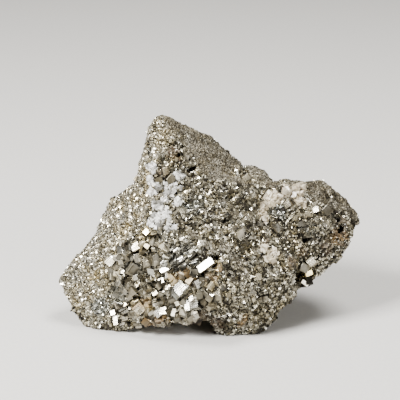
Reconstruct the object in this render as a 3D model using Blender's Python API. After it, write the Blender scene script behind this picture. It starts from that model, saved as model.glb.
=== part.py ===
"""Pyrite specimen: a lump of massive granular pyrite with cubic crystals in its hollows.

Metres, +Z up. The lump stands on three worn flats in the plane z = 0, with its broad rough face
towards -Y, its pointed peak on the -X side and its blunt, overhanging end on the +X side. The
origin is the middle of its footprint box, on the surface it stands on.
Run it with: blender --background --python part.py
"""

import math
import random

import bmesh
import bpy
from mathutils import Euler, Matrix, Vector, noise
from mathutils.bvhtree import BVHTree

MM = 0.001

# ---------------------------------------------------------------------------------------------
# Driving dimensions, in millimetres unless a name says otherwise
# ---------------------------------------------------------------------------------------------
FUSE_VOXEL = 1.0  # cell size at which the lumps are fused into one skin
BLEND_PASSES = 4  # smoothing passes, which round the creases between the lumps
SKIN_TRIANGLES = 3600  # what the skin is simplified to before crystals are added
SWELL = 0.55  # height of the broad swells of the fracture faces
SWELL_WIDTH = 9.0
GRAIN_RELIEF = 0.75  # height of the granular knobs
GRAIN_WIDTH = 3.4
SEAT_GAP = 0.35  # clearance between a hollow and the crystal crust seated in it
LINING = 1.5  # thickness of the crust under its crystals
LIP_CLEARANCE = 0.06  # how much further in than its lining a crust's crystals stop
WEAR = 0.35  # what lies lower than this is worn down flat, to the plane that the lump stands on
CORE = Vector((-1, -2, 26))  # a point deep in the lump, from which all its skin is in sight

# Small crystals that stud the open skin in drifts: how many, and their edges
STUDS = 92
STUD_EDGE = (1.2, 2.9)
STUD_STAND = (-0.30, 0.10)  # how far their middles stand out of the skin, as shares of their edges
STUD_SEED = 7
DRIFT_WIDTH = 13.0

# The broad face leans back. Features on it are placed in its own frame: x along it, up it, and into it.
FACE_LEAN = math.radians(20)
FACE_FOOT = Vector((0, -22, 0))
FACE_UP = Vector((0, math.sin(FACE_LEAN), math.cos(FACE_LEAN)))
FACE_IN = Vector((0, math.cos(FACE_LEAN), -math.sin(FACE_LEAN)))
OUTSIDE = -60.0  # a depth well outside the lump
FACE_REACH = 15.0  # how far into the lump from the face's foot a place still counts as on it

# Each lump is the convex hull of its corners (x, y, z). Broken mineral is bounded by flat fracture
# faces, so a few corners give each lump its few large planes.
LUMPS = {
    "peak": [
        (-16.5, 2, 62.2), (-19.8, -2, 54), (-13.5, 5, 60.4), (0.3, 9, 52.5), (8.5, 9, 45),
        (-22, 1, 42), (-20, 14, 38), (6, 19, 36), (-13, -15, 30), (8, -16, 30), (-25, -6, 28),
        (-20, 14, 20), (8, 18, 18),
    ],
    "left_shoulder": [
        (-31, 3, 34.5), (-22, 0, 41.5), (-26, 12, 30), (-36.5, 2, 19), (-24, -14, 29), (-12, -16, 30),
        (-12, 14, 34), (-14, 15, 10), (-30, 10, 10), (-20, -18, 12),
    ],
    "left_foot": [
        (-33, 2, 26), (-37.5, 0, 18), (-44, -3, 14.5), (-46.8, -8, 11.5), (-42, -13, 4),
        (-38, -15, -0.5), (-32, -18, -1), (-26, -18, -1), (-20, -21, 4.5), (-26, -16, 28),
        (-34, 6, 4), (-22, 12, 6), (-14, 6, 20),
    ],
    "centre": [
        (-20, -12, 37), (0, -7, 44), (14, -5, 42), (20, 2, 40), (8, 12, 42), (-16, 12, 36),
        (-22, -22, 3.5), (-18, -23, 4.5), (-4, -24, 4), (4, -26, 16), (16, -23, 12), (27, -17, 21),
        (24, 16, 16), (8, 22, 8), (-14, 18, 8),
    ],
    "knob": [
        (8, 4, 44.5), (12, 6, 45), (16, 4, 43.5), (21, 2, 39.5), (14, -6, 42), (6, -4, 40), (12, 12, 36),
    ],
    "right_bulge": [
        (14, -6, 42), (26, 4, 39.5), (34, 3, 40.5), (40.5, 2, 35.2), (45.7, -3, 29.5), (40, -8, 20),
        (33, -12, 14.5), (25, -14, 11), (34, -6, 37), (30, -15, 27), (14, -20, 14), (12, 16, 34),
        (32, 14, 28), (26, 14, 14), (40, 6, 24), (10, 16, 10),
    ],
    "right_foot": [
        (1, -21, 0.5), (4, -21, -1), (14, -20, -1), (19, -18, 2), (24, -16, 9), (28, -13, 13), (8, -26, 13),
        (24, -19, 22), (0, -23, 7), (10, -6, 2), (22, 2, 10), (-2, -8, 5),
    ],
    "back_foot": [
        (-8, 18, -1), (10, 20, -1), (4, 8, -1), (-15, 15, 9), (19, 16, 12), (-2, 2, 8), (13, 3, 8),
        (0, 20, 26),
    ],
}

# Soft valleys (positive) and ridges (negative) of the broad face: its line of (x, up), depth and half-width
VALLEYS = [
    ([(37.5, 41), (37, 31), (31.5, 25.5), (27, 16)], 1.9, 2.2),  # beside the rim of the blunt end
    ([(-14, 30), (-4, 26.5), (4, 24)], -1.3, 3.0),  # the ledge over the front hollow
    ([(-9, 56), (-5, 48), (-2, 40)], 0.9, 2.6),  # below the cleft face of the peak
    ([(12, 47), (17, 38), (14, 28)], 0.8, 3.0),
    ([(5, 20), (9, 8)], -1.0, 3.5),  # the rounded edge that runs down to the right foot
    ([(21, 42), (26, 36)], -0.8, 3.0),
]

# Two fracture faces are fine-grained: their outward directions, and the cosines where they begin and end
FINE_FLANK = (Vector((-0.72, -0.35, 0.6)), 0.75, 0.95)
FINE_CLEFT = (Vector((0.5, -0.1, 0.85)), 0.7, 0.95)

# A hollow's rim (x, up, floor share): the share is how far out its floor reaches below that rim
# point, so 0.9 makes a steep wall, or ledge, and 0.6 a gentle one. Its crystals are filled in on a
# staggered grid of this spacing, with edges between these sizes, around those listed by hand.
FRONT_HOLLOW = {
    "rim": [
        (-18.5, 30.5, 0.8), (-14.5, 26.0, 0.9), (-11.0, 23.2, 0.93), (-4.5, 22.0, 0.93), (1.0, 20.0, 0.9),
        (3.2, 14.7, 0.75), (1.0, 8.7, 0.7), (-3.5, 5.6, 0.8), (-11.0, 5.2, 0.8), (-18.3, 5.2, 0.8),
        (-24.5, 4.8, 0.75), (-28.5, 7.0, 0.7), (-28.0, 12.0, 0.65), (-29.5, 17.7, 0.6),
        (-27.5, 23.5, 0.6), (-23.0, 28.5, 0.7),
    ],
    "depth": 4.0,
    "spacing": 2.8,
    "edges": (1.4, 3.0),
    "seed": 5,
}
EDGE_HOLLOW = {
    "rim": [
        (27.5, 24.0, 0.7), (31.5, 24.5, 0.7), (34.0, 21.5, 0.7), (33.0, 17.5, 0.7), (29.5, 15.0, 0.75),
        (26.0, 15.2, 0.75), (24.5, 18.0, 0.75), (25.0, 21.5, 0.7),
    ],
    "depth": 2.6,
    "spacing": 2.6,
    "edges": (1.2, 2.2),
    "seed": 11,
}

# The larger crystals of each hollow: x, up, how far they stand above its floor, edge, stretch, and
# then their spin and how far their front face tips up and turns right, in degrees
CUBE = (1.0, 1.0, 1.0)
FRONT_CRYSTALS = [
    (-1.5, 21.0, 1.7, 2.9, (1.75, 0.9, 1.0), (40, 16, -21)),  # the long one below the ledge
    (-21.5, 7.7, 1.2, 2.7, CUBE, (43, 2, 8)),
    (-22.2, 10.2, 0.7, 2.6, (1.1, 0.9, 1.0), (35, -30, 10)),
    (-9.0, 14.1, 1.2, 3.5, CUBE, (50, 25, -36)),
    (-7.4, 12.2, 0.5, 2.3, CUBE, (20, -20, 30)),
    (-3.9, 15.9, 0.8, 2.6, CUBE, (25, 4, 20)),
    (-0.3, 15.4, 0.7, 2.5, CUBE, (55, 22, -20)),
    (0.2, 12.7, 0.6, 1.8, CUBE, (40, 16, -20)),
    (-4.4, 9.5, 0.9, 2.8, CUBE, (12, 12, -26)),
    (-7.1, 9.3, 1.0, 1.8, (0.9, 1.0, 1.9), (4, 14, -17)),
    (-14.1, 7.2, 0.9, 2.3, CUBE, (10, 13, -17)),
    (-17.5, 8.2, 0.7, 1.9, CUBE, (30, -20, 25)),
    (-14.8, 10.0, 0.6, 2.2, CUBE, (20, -20, 25)),
    (-11.5, 8.7, 0.4, 2.1, CUBE, (40, -15, 25)),
    (-16.3, 12.7, 0.6, 1.8, CUBE, (35, 22, -25)),
    (-15.0, 15.9, 0.8, 1.8, CUBE, (20, 14, -20)),
    (-14.2, 19.3, 0.9, 1.9, (1.8, 1.0, 0.9), (28, 18, -22)),
    (-19.3, 12.2, 0.5, 1.8, CUBE, (15, -20, 25)),
    (-23.3, 16.2, 0.9, 1.5, (0.8, 1.0, 2.0), (5, 8, -20)),
    (-23.4, 20.2, 0.4, 3.3, (1.2, 1.0, 1.0), (62, -25, 20)),
    (-16.4, 23.1, 0.9, 3.2, CUBE, (6, -16, 30)),
    (-19.2, 22.4, 0.6, 2.9, CUBE, (15, 18, -18)),
    (-21.6, 23.6, 0.7, 2.8, (1.1, 1.0, 1.0), (12, -15, 22)),
    (-21.9, 26.2, 0.5, 2.5, CUBE, (25, 22, -22)),
    (-25.2, 9.6, 0.5, 2.0, CUBE, (35, 20, -20)),
]
EDGE_CRYSTALS = [
    (29.7, 22.2, 0.9, 2.8, (1.0, 1.0, 0.9), (12, 12, -18)),
    (27.6, 20.3, 0.6, 2.7, CUBE, (66, -18, 20)),
    (28.3, 18.5, 0.8, 1.8, (1.2, 1.0, 1.0), (20, 15, -20)),
    (26.8, 16.4, 0.9, 2.4, (1.2, 1.0, 1.0), (50, 14, -19)),
    (29.0, 16.8, 0.5, 2.1, CUBE, (15, -15, 25)),
]

# Crystals fused to the open surface of the broad face: x, up, how deep they are sunk, edge, and
# spin, tip and turn as above
FACE_CRYSTALS = [
    (-29.5, 6.5, 0.2, 1.8, (20, 16, -20)),
    (-28.8, 4.4, 0.2, 2.2, (10, 15, -18)),
    (-26.8, 4.2, 0.2, 1.8, (5, 5, 20)),
    (-20.4, 27.7, 0.2, 2.0, (15, -20, 25)),
    (-18.8, 30.7, 0.2, 2.0, (50, 15, -20)),
    (-17.2, 31.0, 0.2, 2.0, (10, 18, 20)),
    (-13.2, 40.5, 0.4, 2.4, (30, 20, 10)),
    (-16.0, 44.5, 0.4, 2.6, (10, -20, 20)),
    (8.2, 30.6, 0.3, 2.4, (20, -18, 20)),
    (10.2, 47.0, 0.3, 2.2, (40, -15, 20)),
    (19.4, 31.8, 0.3, 2.2, (45, 15, 15)),
    (20.5, 43.0, 0.4, 2.8, (20, 25, 20)),
    (22.8, 39.2, 0.3, 2.4, (30, 20, -20)),
    (26.5, 43.5, 0.4, 2.8, (50, -20, 10)),
    (31.0, 37.3, 0.2, 2.0, (20, 14, -18)),
    (34.2, 37.2, 0.3, 2.8, (45, -4, 6)),
    (33.5, 33.0, 0.5, 2.4, (25, 25, -30)),
]

# Pits left where crystals fell out: x, up, width, height, depth, turn about the face's own normal
PITS = [
    (-5.4, 49.2, 3.6, 1.3, 2.4, 38),
    (-9.9, 53.7, 1.8, 1.1, 1.8, 20),
    (-6.6, 52.6, 1.4, 1.0, 1.6, 10),
    (-8.4, 56.2, 1.1, 1.0, 1.5, 40),
    (3.6, 34.2, 1.6, 1.3, 2.0, 50),
    (27.6, 28.5, 2.0, 1.8, 2.4, 15),
    (25.8, 32.0, 1.1, 1.2, 1.8, 60),
    (38.6, 31.2, 2.6, 1.9, 2.4, 30),
    (10.3, 49.2, 0.9, 2.2, 1.6, 5),
    (1.6, 23.4, 1.6, 1.2, 1.8, 45),
    (10.5, 22.8, 1.3, 1.3, 1.6, 20),
    (16.5, 12.5, 1.4, 1.1, 1.6, 35),
    (-24.0, 35.5, 1.3, 0.9, 1.4, 55),
]
PIT_TILT = Euler((math.radians(18), 0, math.radians(22))).to_matrix().to_4x4()

# Colour (linear), roughness and metallic value of each piece
MASSIVE_LOOK = ((0.36, 0.33, 0.26), 0.45, 0.8)
CRYSTAL_LOOK = ((0.50, 0.46, 0.36), 0.28, 1.0)


# ---------------------------------------------------------------------------------------------
# Helpers
# ---------------------------------------------------------------------------------------------
def clear_scene():
    for obj in list(bpy.data.objects):
        bpy.data.objects.remove(obj)


def on_face(x, up, depth):
    """A point in the frame of the broad face, in millimetres."""
    return FACE_FOOT + Vector((x, 0, 0)) + up * FACE_UP + depth * FACE_IN


def smooth(low, high, value):
    """0 below the low value, 1 above the high one, and an even S-curve between them."""
    share = min(1.0, max(0.0, (value - low) / (high - low)))
    return share * share * (3 - 2 * share)


def face_turned(spin, tip_up, turn_right):
    """A rotation that starts square with the broad face. Its front then spins, tips up and turns right."""
    square = Matrix(((1, 0, 0), FACE_IN, FACE_UP)).transposed().to_4x4()
    turn = Matrix.Rotation(math.radians(turn_right), 4, "Z")
    tip = Matrix.Rotation(math.radians(-tip_up), 4, "X")
    return square @ turn @ tip @ Matrix.Rotation(math.radians(-spin), 4, "Y")


def random_turn(draw):
    return Euler([math.radians(draw.uniform(0, 90)) for _ in range(3)]).to_matrix().to_4x4()


def mesh_object(name, bm):
    mesh = bpy.data.meshes.new(name)
    bmesh.ops.recalc_face_normals(bm, faces=bm.faces)
    bm.to_mesh(mesh)
    bm.free()
    obj = bpy.data.objects.new(name, mesh)
    bpy.context.scene.collection.objects.link(obj)
    return obj


def copy_of(obj, name):
    twin = bpy.data.objects.new(name, obj.data.copy())
    bpy.context.scene.collection.objects.link(twin)
    return twin


def baked(obj):
    """Replaces the object's mesh with the one that its modifiers make."""
    bpy.context.view_layer.update()
    graph = bpy.context.evaluated_depsgraph_get()
    mesh = bpy.data.meshes.new_from_object(obj.evaluated_get(graph))
    obj.modifiers.clear()
    obj.data = mesh
    return obj


def boolean(obj, operation, tool):
    """Joins, cuts or keeps what obj shares with the tool, which is used up."""
    step = obj.modifiers.new(operation.lower(), "BOOLEAN")
    step.operation = operation
    step.solver = "EXACT"
    step.use_self = True
    step.object = tool
    baked(obj)
    bpy.data.objects.remove(tool)
    return obj


def grown_together(solids):
    """One object of many overlapping solids, joined where they meet."""
    first, rest = solids[0], solids[1:]
    group = bpy.data.collections.new("grown")
    for obj in rest:
        group.objects.link(obj)
    step = first.modifiers.new("union", "BOOLEAN")
    step.operation = "UNION"
    step.solver = "EXACT"
    step.operand_type = "COLLECTION"
    step.collection = group
    baked(first)
    for obj in rest:
        bpy.data.objects.remove(obj)
    bpy.data.collections.remove(group)
    return first


def outer_shell(obj):
    """Keeps the outer skin and drops sealed cavities between crystals, and specks cut off from it."""
    bm = bmesh.new()
    bm.from_mesh(obj.data)
    left = set(bm.faces)
    shells = []
    while left:
        shell, edge = set(), [left.pop()]
        while edge:
            face = edge.pop()
            shell.add(face)
            near = {other for line in face.edges for other in line.link_faces} & left
            left -= near
            edge.extend(near)
        shells.append(shell)
    shells.sort(key=lambda shell: sum(face.calc_area() for face in shell))
    spare = [face for shell in shells[:-1] for face in shell]
    bmesh.ops.delete(bm, geom=spare, context="FACES")
    bm.to_mesh(obj.data)
    bm.free()
    return obj


def simplified(obj, triangles):
    """Brings the skin down to this many triangles, with its feet worn truly flat."""
    obj.data.calc_loop_triangles()
    step = obj.modifiers.new("simplify", "DECIMATE")
    step.ratio = triangles / len(obj.data.loop_triangles)
    step.use_collapse_triangulate = True
    baked(obj)
    for vert in obj.data.vertices:
        if vert.co.z < WEAR * MM:
            vert.co.z = 0.0
    return obj


def finished(obj, look):
    """Gives a piece its own material, and leaves its crystal faces flat."""
    colour, roughness, metallic = look
    material = bpy.data.materials.new(obj.name)
    material.use_nodes = True
    shader = material.node_tree.nodes["Principled BSDF"]
    shader.inputs["Base Color"].default_value = (*colour, 1.0)
    shader.inputs["Roughness"].default_value = roughness
    shader.inputs["Metallic"].default_value = metallic
    obj.data.materials.clear()
    obj.data.materials.append(material)
    obj.data.shade_flat()


# ---------------------------------------------------------------------------------------------
# The lump: fracture faces, swells and granular knobs
# ---------------------------------------------------------------------------------------------
def add_hull(bm, corners):
    verts = [bm.verts.new(Vector(corner) * MM) for corner in corners]
    made = bmesh.ops.convex_hull(bm, input=verts)
    spare = {g for g in made["geom_interior"] + made["geom_unused"] if isinstance(g, bmesh.types.BMVert)}
    bmesh.ops.delete(bm, geom=list(spare), context="VERTS")


def fused_lumps():
    bm = bmesh.new()
    for corners in LUMPS.values():
        add_hull(bm, corners)
    obj = mesh_object("massive_pyrite", bm)
    fuse = obj.modifiers.new("fuse", "REMESH")
    fuse.mode = "VOXEL"
    fuse.voxel_size = FUSE_VOXEL * MM
    return baked(obj)


def coarseness(normal):
    """0 on the fine-grained fracture faces, 1 on the coarse broad face."""
    fine = [smooth(begins, ends, normal.dot(way)) for way, begins, ends in (FINE_FLANK, FINE_CLEFT)]
    return 1.0 - max(fine)


def knob_height(point):
    """How far a grain knob stands at this point: high in the middle of its cell, low at its border."""
    nearest, second = noise.voronoi(point / GRAIN_WIDTH)[0][:2]
    return min(1.0, 1.6 * (second - nearest))


def from_line(x, up, line):
    """Distance from a place on the broad face to a line through several places on it."""
    here = Vector((x, up))
    nearest = math.inf
    for start, end in zip(line, line[1:]):
        start, end = Vector(start), Vector(end)
        run = end - start
        share = min(1.0, max(0.0, (here - start).dot(run) / run.length_squared))
        nearest = min(nearest, (here - start - run * share).length)
    return nearest


def valley_depth(point, normal):
    """How far the valleys push the broad face in at this point. The other faces keep their shape."""
    facing = smooth(0.1, 0.5, -normal.dot(FACE_IN))
    local = point - FACE_FOOT
    x, up = local.x, local.dot(FACE_UP)
    pushes = (depth * math.exp(-((from_line(x, up, line) / width) ** 2)) for line, depth, width in VALLEYS)
    return facing * sum(pushes)


def roughened(obj):
    """Rounds the lump's creases, gives it swells, knobs and valleys, and wears its feet flat at z = 0."""
    bm = bmesh.new()
    bm.from_mesh(obj.data)
    for _ in range(BLEND_PASSES):
        bmesh.ops.smooth_vert(bm, verts=bm.verts, factor=0.5, use_axis_x=True, use_axis_y=True, use_axis_z=True)
    bm.normal_update()
    moved = []
    for vert in bm.verts:
        point = vert.co / MM
        swell = SWELL * noise.fractal(point / SWELL_WIDTH, 0.8, 2.0, 3)
        knobs = GRAIN_RELIEF * (knob_height(point) - 0.5) * (0.35 + 0.65 * coarseness(vert.normal))
        moved.append(vert.co + vert.normal * (swell + knobs - valley_depth(point, vert.normal)) * MM)
    for vert, place in zip(bm.verts, moved):
        vert.co = (place.x, place.y, max(place.z, 0.0))
    bm.to_mesh(obj.data)
    bm.free()
    return obj


# ---------------------------------------------------------------------------------------------
# Hollows: a cutter lofted through rings, which follow the lump's own surface
# ---------------------------------------------------------------------------------------------
def surface_depth(tree, x, up):
    """How deep the lump's surface lies at this place on the broad face."""
    hit, _, _, distance = tree.ray_cast(on_face(x, up, OUTSIDE) * MM, FACE_IN)
    return OUTSIDE + distance / MM if hit else 0.0


def inside(rim, x, up):
    """True where a place lies within a rim, by counting the rim's crossings to one side of it."""
    crossings = 0
    for (x0, up0, _), (x1, up1, _) in zip(rim, rim[1:] + rim[:1]):
        if (up0 > up) != (up1 > up) and x < x0 + (up - up0) * (x1 - x0) / (up1 - up0):
            crossings += 1
    return crossings % 2 == 1


def hollow_rings(hollow, tree, gap):
    """The floor, rim, flare and outer ring of a hollow's cutter, from the inside out, and its two hubs."""
    rim = hollow["rim"]
    middle = Vector((sum(place[0] for place in rim), sum(place[1] for place in rim))) / len(rim)
    floors, rims, flares, outers = [], [], [], []
    for x, up, floor_share in rim:
        spoke = Vector((x, up)) - middle
        inset = spoke.normalized() * gap * 1.3
        skin = surface_depth(tree, x, up) - gap * 0.6
        floor = surface_depth(tree, *(middle + spoke * floor_share)) + hollow["depth"]
        floors.append(on_face(*(middle + spoke * floor_share - inset), floor - gap))
        rims.append(on_face(*(middle + spoke - inset), skin - 0.2))
        flares.append(on_face(*(middle + spoke * 1.35 - inset), skin - 3.0))
        outers.append(on_face(*(middle + spoke * 1.5 - inset), OUTSIDE / 2))
    floor_hub = on_face(*middle, surface_depth(tree, *middle) + hollow["depth"] * 1.15 - gap)
    return (floors, rims, flares, outers), (floor_hub, on_face(*middle, OUTSIDE / 2))


def hollow_cutter(name, hollow, tree, gap=0.0):
    """The space of a hollow, from its floor out past the lump's skin. A gap makes it smaller all round."""
    rings, hubs = hollow_rings(hollow, tree, gap)
    bm = bmesh.new()
    loops = [[bm.verts.new(point * MM) for point in ring] for ring in rings]
    for low, high in zip(loops, loops[1:]):
        for i in range(len(low)):
            bm.faces.new((low[i - 1], low[i], high[i], high[i - 1]))
    for loop, hub in zip((loops[0], loops[-1]), hubs):
        centre = bm.verts.new(hub * MM)
        for i in range(len(loop)):
            bm.faces.new((loop[i - 1], loop[i], centre))
    bmesh.ops.triangulate(bm, faces=bm.faces, quad_method="FIXED", ngon_method="BEAUTY")
    return mesh_object(name, bm)


def pit(tree, x, up, width, height, depth, turn):
    """A box that cuts a pit of this size into the broad face."""
    bm = bmesh.new()
    lean = Matrix.Rotation(-FACE_LEAN, 4, "X")
    spin = Matrix.Rotation(math.radians(-turn), 4, "Y")
    shape = Matrix.Diagonal((width * MM, 2 * depth * MM, height * MM, 1))
    place = Matrix.Translation(on_face(x, up, surface_depth(tree, x, up)) * MM)
    bmesh.ops.create_cube(bm, size=1.0, matrix=place @ lean @ spin @ PIT_TILT @ shape)
    return mesh_object("pit", bm)


# ---------------------------------------------------------------------------------------------
# Crystals: cubes, the commonest habit of pyrite
# ---------------------------------------------------------------------------------------------
def crystal(name, place, size, turn, stretch=CUBE):
    """One cube of this edge length, at a place in millimetres, with its rotation as a matrix."""
    bm = bmesh.new()
    shape = Matrix.Diagonal((*(size * share * MM for share in stretch), 1))
    bmesh.ops.create_cube(bm, size=1.0, matrix=Matrix.Translation(place * MM) @ turn @ shape)
    return mesh_object(name, bm)


def grid_places(hollow, draw):
    """Places on a loose staggered grid over a hollow, each with an edge length."""
    rim, spacing = hollow["rim"], hollow["spacing"]
    left, right = min(place[0] for place in rim), max(place[0] for place in rim)
    low, high = min(place[1] for place in rim), max(place[1] for place in rim)
    row_height = spacing * math.sqrt(3) / 2
    for row in range(math.ceil((high - low) / row_height)):
        for column in range(math.ceil((right - left) / spacing)):
            x = left + (column + (row % 2) / 2 + draw.uniform(-0.35, 0.35)) * spacing
            up = low + row * row_height + draw.uniform(-0.35, 0.35) * spacing
            size = draw.uniform(*hollow["edges"])
            if inside(rim, x, up):
                yield x, up, size


def crust_cubes(hollow, tree, large):
    """The large crystals of a hollow, with smaller ones filled in around them."""
    floor = hollow["depth"] - SEAT_GAP - LINING
    draw = random.Random(hollow["seed"])
    cubes = []
    for x, up, stand, size, stretch, angles in large:
        depth = surface_depth(tree, x, up) + floor - stand
        cubes.append(crystal("large_cube", on_face(x, up, depth), size, face_turned(*angles), stretch))
    for x, up, size in grid_places(hollow, draw):
        turn = random_turn(draw)
        depth = surface_depth(tree, x, up) + floor - draw.uniform(-0.1, 0.45) * size
        clear = all(math.hypot(x - other[0], up - other[1]) > 0.45 * (size + other[3]) for other in large)
        if clear:
            cubes.append(crystal("small_cube", on_face(x, up, depth), size, turn))
    return cubes


def crust(name, hollow, tree, skin, large):
    """The lining of a hollow with its crystals, as one solid seated in the hollow with a small gap."""
    lining = copy_of(skin, name)
    boolean(lining, "INTERSECT", hollow_cutter("lining_space", hollow, tree, SEAT_GAP))
    scoop = hollow_cutter("scoop", hollow, tree, SEAT_GAP + LINING / 2)
    scoop.data.transform(Matrix.Translation((FACE_UP * -0.4 - FACE_IN * LINING) * MM))
    boolean(lining, "DIFFERENCE", scoop)
    grown = grown_together(crust_cubes(hollow, tree, large))
    boolean(grown, "INTERSECT", hollow_cutter("crystal_space", hollow, tree, SEAT_GAP + LIP_CLEARANCE))
    return outer_shell(boolean(lining, "UNION", grown))


def in_hollow(point):
    local = point - FACE_FOOT
    x, up = local.x, local.dot(FACE_UP)
    return local.y < FACE_REACH and any(inside(hollow["rim"], x, up) for hollow in (FRONT_HOLLOW, EDGE_HOLLOW))


def studs(tree):
    """Crystals on the open skin in drifts, with none on the underside or where the grain is fine."""
    draw = random.Random(STUD_SEED)
    made = []
    while len(made) < STUDS:
        way = Vector([draw.gauss(0, 1) for _ in range(3)]).normalized()
        size = STUD_EDGE[0] + (STUD_EDGE[1] - STUD_EDGE[0]) * draw.random() ** 2
        turn = random_turn(draw)
        stand = draw.uniform(*STUD_STAND) * size
        hit, normal, _, _ = tree.ray_cast(CORE * MM, way)
        point = hit / MM
        in_drift = noise.noise(point / DRIFT_WIDTH) > -0.05
        open_side = point.z > 2.5 and normal.z > -0.45
        if in_drift and open_side and coarseness(normal) > 0.4 and not in_hollow(point):
            made.append(crystal("stud", point + normal * stand, size, turn))
    return made


def face_crystals(tree):
    made = []
    for x, up, sunk, size, angles in FACE_CRYSTALS:
        place = on_face(x, up, surface_depth(tree, x, up) + sunk)
        made.append(crystal("face_crystal", place, size, face_turned(*angles)))
    return made


# ---------------------------------------------------------------------------------------------
# The specimen
# ---------------------------------------------------------------------------------------------
def specimen():
    """The lump with its crystals, hollows and pits, and the two crusts seated in the hollows."""
    body = roughened(fused_lumps())
    tree = BVHTree.FromObject(body, bpy.context.evaluated_depsgraph_get())
    body = simplified(body, SKIN_TRIANGLES)
    front = crust("pocket_crystals", FRONT_HOLLOW, tree, body, FRONT_CRYSTALS)
    edge = crust("edge_crystals", EDGE_HOLLOW, tree, body, EDGE_CRYSTALS)
    body = grown_together([body] + face_crystals(tree) + studs(tree))
    boolean(body, "DIFFERENCE", hollow_cutter("front_space", FRONT_HOLLOW, tree))
    boolean(body, "DIFFERENCE", hollow_cutter("edge_space", EDGE_HOLLOW, tree))
    boolean(body, "DIFFERENCE", grown_together([pit(tree, *hole) for hole in PITS]))
    finished(outer_shell(body), MASSIVE_LOOK)
    finished(front, CRYSTAL_LOOK)
    finished(edge, CRYSTAL_LOOK)
    return [body, front, edge]


def stand_on_origin(pieces):
    """Moves every piece by the same step, so that the origin is the middle of the lump's footprint box."""
    corners = [vert.co for vert in pieces[0].data.vertices]
    low = Vector([min(corner[i] for corner in corners) for i in range(3)])
    high = Vector([max(corner[i] for corner in corners) for i in range(3)])
    step = Vector((-(low.x + high.x) / 2, -(low.y + high.y) / 2, -low.z))
    for piece in pieces:
        piece.data.transform(Matrix.Translation(step))


clear_scene()
stand_on_origin(specimen())
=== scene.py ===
# %% [markdown]
# # A pyrite specimen
#
# Pyrite is iron sulphide. It grows as a sparkling mass of small interlocked crystals, and where it
# had room it makes clean cubes. This lesson dresses a solid model of one hand specimen: the packed
# grains, the cubes in its hollows, the white quartz between them and the rust stain.

# %% Load the solid model
import math

import bmesh
import bpy
import numpy as np
from mathutils import Matrix, Vector, noise
from mathutils.bvhtree import BVHTree
from mathutils.kdtree import KDTree


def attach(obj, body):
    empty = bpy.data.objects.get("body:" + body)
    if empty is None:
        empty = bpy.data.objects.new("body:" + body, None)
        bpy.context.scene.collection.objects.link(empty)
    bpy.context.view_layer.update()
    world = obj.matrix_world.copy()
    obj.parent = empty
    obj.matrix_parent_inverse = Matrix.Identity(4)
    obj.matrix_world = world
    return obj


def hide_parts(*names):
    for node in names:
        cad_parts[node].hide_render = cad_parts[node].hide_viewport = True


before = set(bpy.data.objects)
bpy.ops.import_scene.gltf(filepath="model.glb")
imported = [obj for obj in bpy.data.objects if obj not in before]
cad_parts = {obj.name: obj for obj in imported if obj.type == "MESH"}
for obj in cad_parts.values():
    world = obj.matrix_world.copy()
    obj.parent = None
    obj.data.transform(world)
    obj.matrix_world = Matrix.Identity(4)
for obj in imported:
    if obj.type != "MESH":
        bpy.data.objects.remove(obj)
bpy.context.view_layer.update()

MM = 0.001
print("solids:", sorted(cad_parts))

# %% [markdown]
# ## Where the camera stands
#
# The camera looks straight at the broad face of the lump from 20 degrees above the table, through a
# long lens, so that the lump keeps its proportions. The floor is one pale sheet of paper that fills
# the view to its edges, so nothing takes the eye from the lump.

# %% Camera and floor
PICTURE_SIDE = 400
LENS, SENSOR = 150.0, 36.0
CAMERA_TILT = math.radians(20)
CAMERA_REACH = 0.5
LOOK_AT = Vector((-2.65, 2.78, 34.8)) * MM


def linked(name, data):
    """A new object in the scene with this data."""
    thing = bpy.data.objects.new(name, data)
    bpy.context.scene.collection.objects.link(thing)
    return thing


def aimed(thing, place, way):
    """Puts a camera or a lamp at a place and points it this way."""
    thing.location = place
    thing.rotation_mode = "QUATERNION"
    thing.rotation_quaternion = way.to_track_quat("-Z", "Y")


away = Vector((0, -math.cos(CAMERA_TILT), math.sin(CAMERA_TILT)))
camera = linked("camera", bpy.data.cameras.new("camera"))
camera.data.lens = LENS
camera.data.sensor_width = SENSOR
camera.data.clip_start = 0.01
aimed(camera, LOOK_AT + away * CAMERA_REACH, -away)
bpy.context.scene.camera = camera
print("one picture point is", round(SENSOR / LENS * CAMERA_REACH / PICTURE_SIDE / MM, 2), "mm at the lump")


def placed_mesh(name, verts, faces):
    """A mesh object from an array of places and an array of faces that all have as many corners."""
    mesh = bpy.data.meshes.new(name)
    faces = np.asarray(faces)
    mesh.vertices.add(len(verts))
    mesh.vertices.foreach_set("co", np.asarray(verts, np.float32).ravel())
    mesh.loops.add(faces.size)
    mesh.loops.foreach_set("vertex_index", faces.astype(np.int32).ravel())
    mesh.polygons.add(len(faces))
    mesh.polygons.foreach_set("loop_start", np.arange(0, faces.size, faces.shape[1], dtype=np.int32))
    mesh.update(calc_edges=True)
    mesh.shade_flat()
    return linked(name, mesh)


FLOOR_HALF = 1.5  # metres
floor_corners = [(x * FLOOR_HALF, y * FLOOR_HALF, 0) for x, y in ((-1, -1), (1, -1), (1, 1), (-1, 1))]
floor = placed_mesh("studio_floor", floor_corners, [(0, 1, 2, 3)])

# %% [markdown]
# ## The broad face has its own frame
#
# Most features lie on the broad face, which leans back by 20 degrees, so their places are given in
# millimetres along it and up it. Soft-edged discs on it mark the hollows, the fine-grained places,
# the quartz and the stains.

# %% Places on the broad face
FACE_LEAN = math.radians(20)
FACE_FOOT = np.array((0.65, -19.22, 0.0))
FACE_UP = np.array((0, math.sin(FACE_LEAN), math.cos(FACE_LEAN)))
FACE_IN = np.array((0, math.cos(FACE_LEAN), -math.sin(FACE_LEAN)))
FACE_REACH = 22.0  # how far into the lump from the face's foot a place still counts as on it
DISC_CORE = 0.4  # the share of a disc's radius inside which it counts in full


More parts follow.
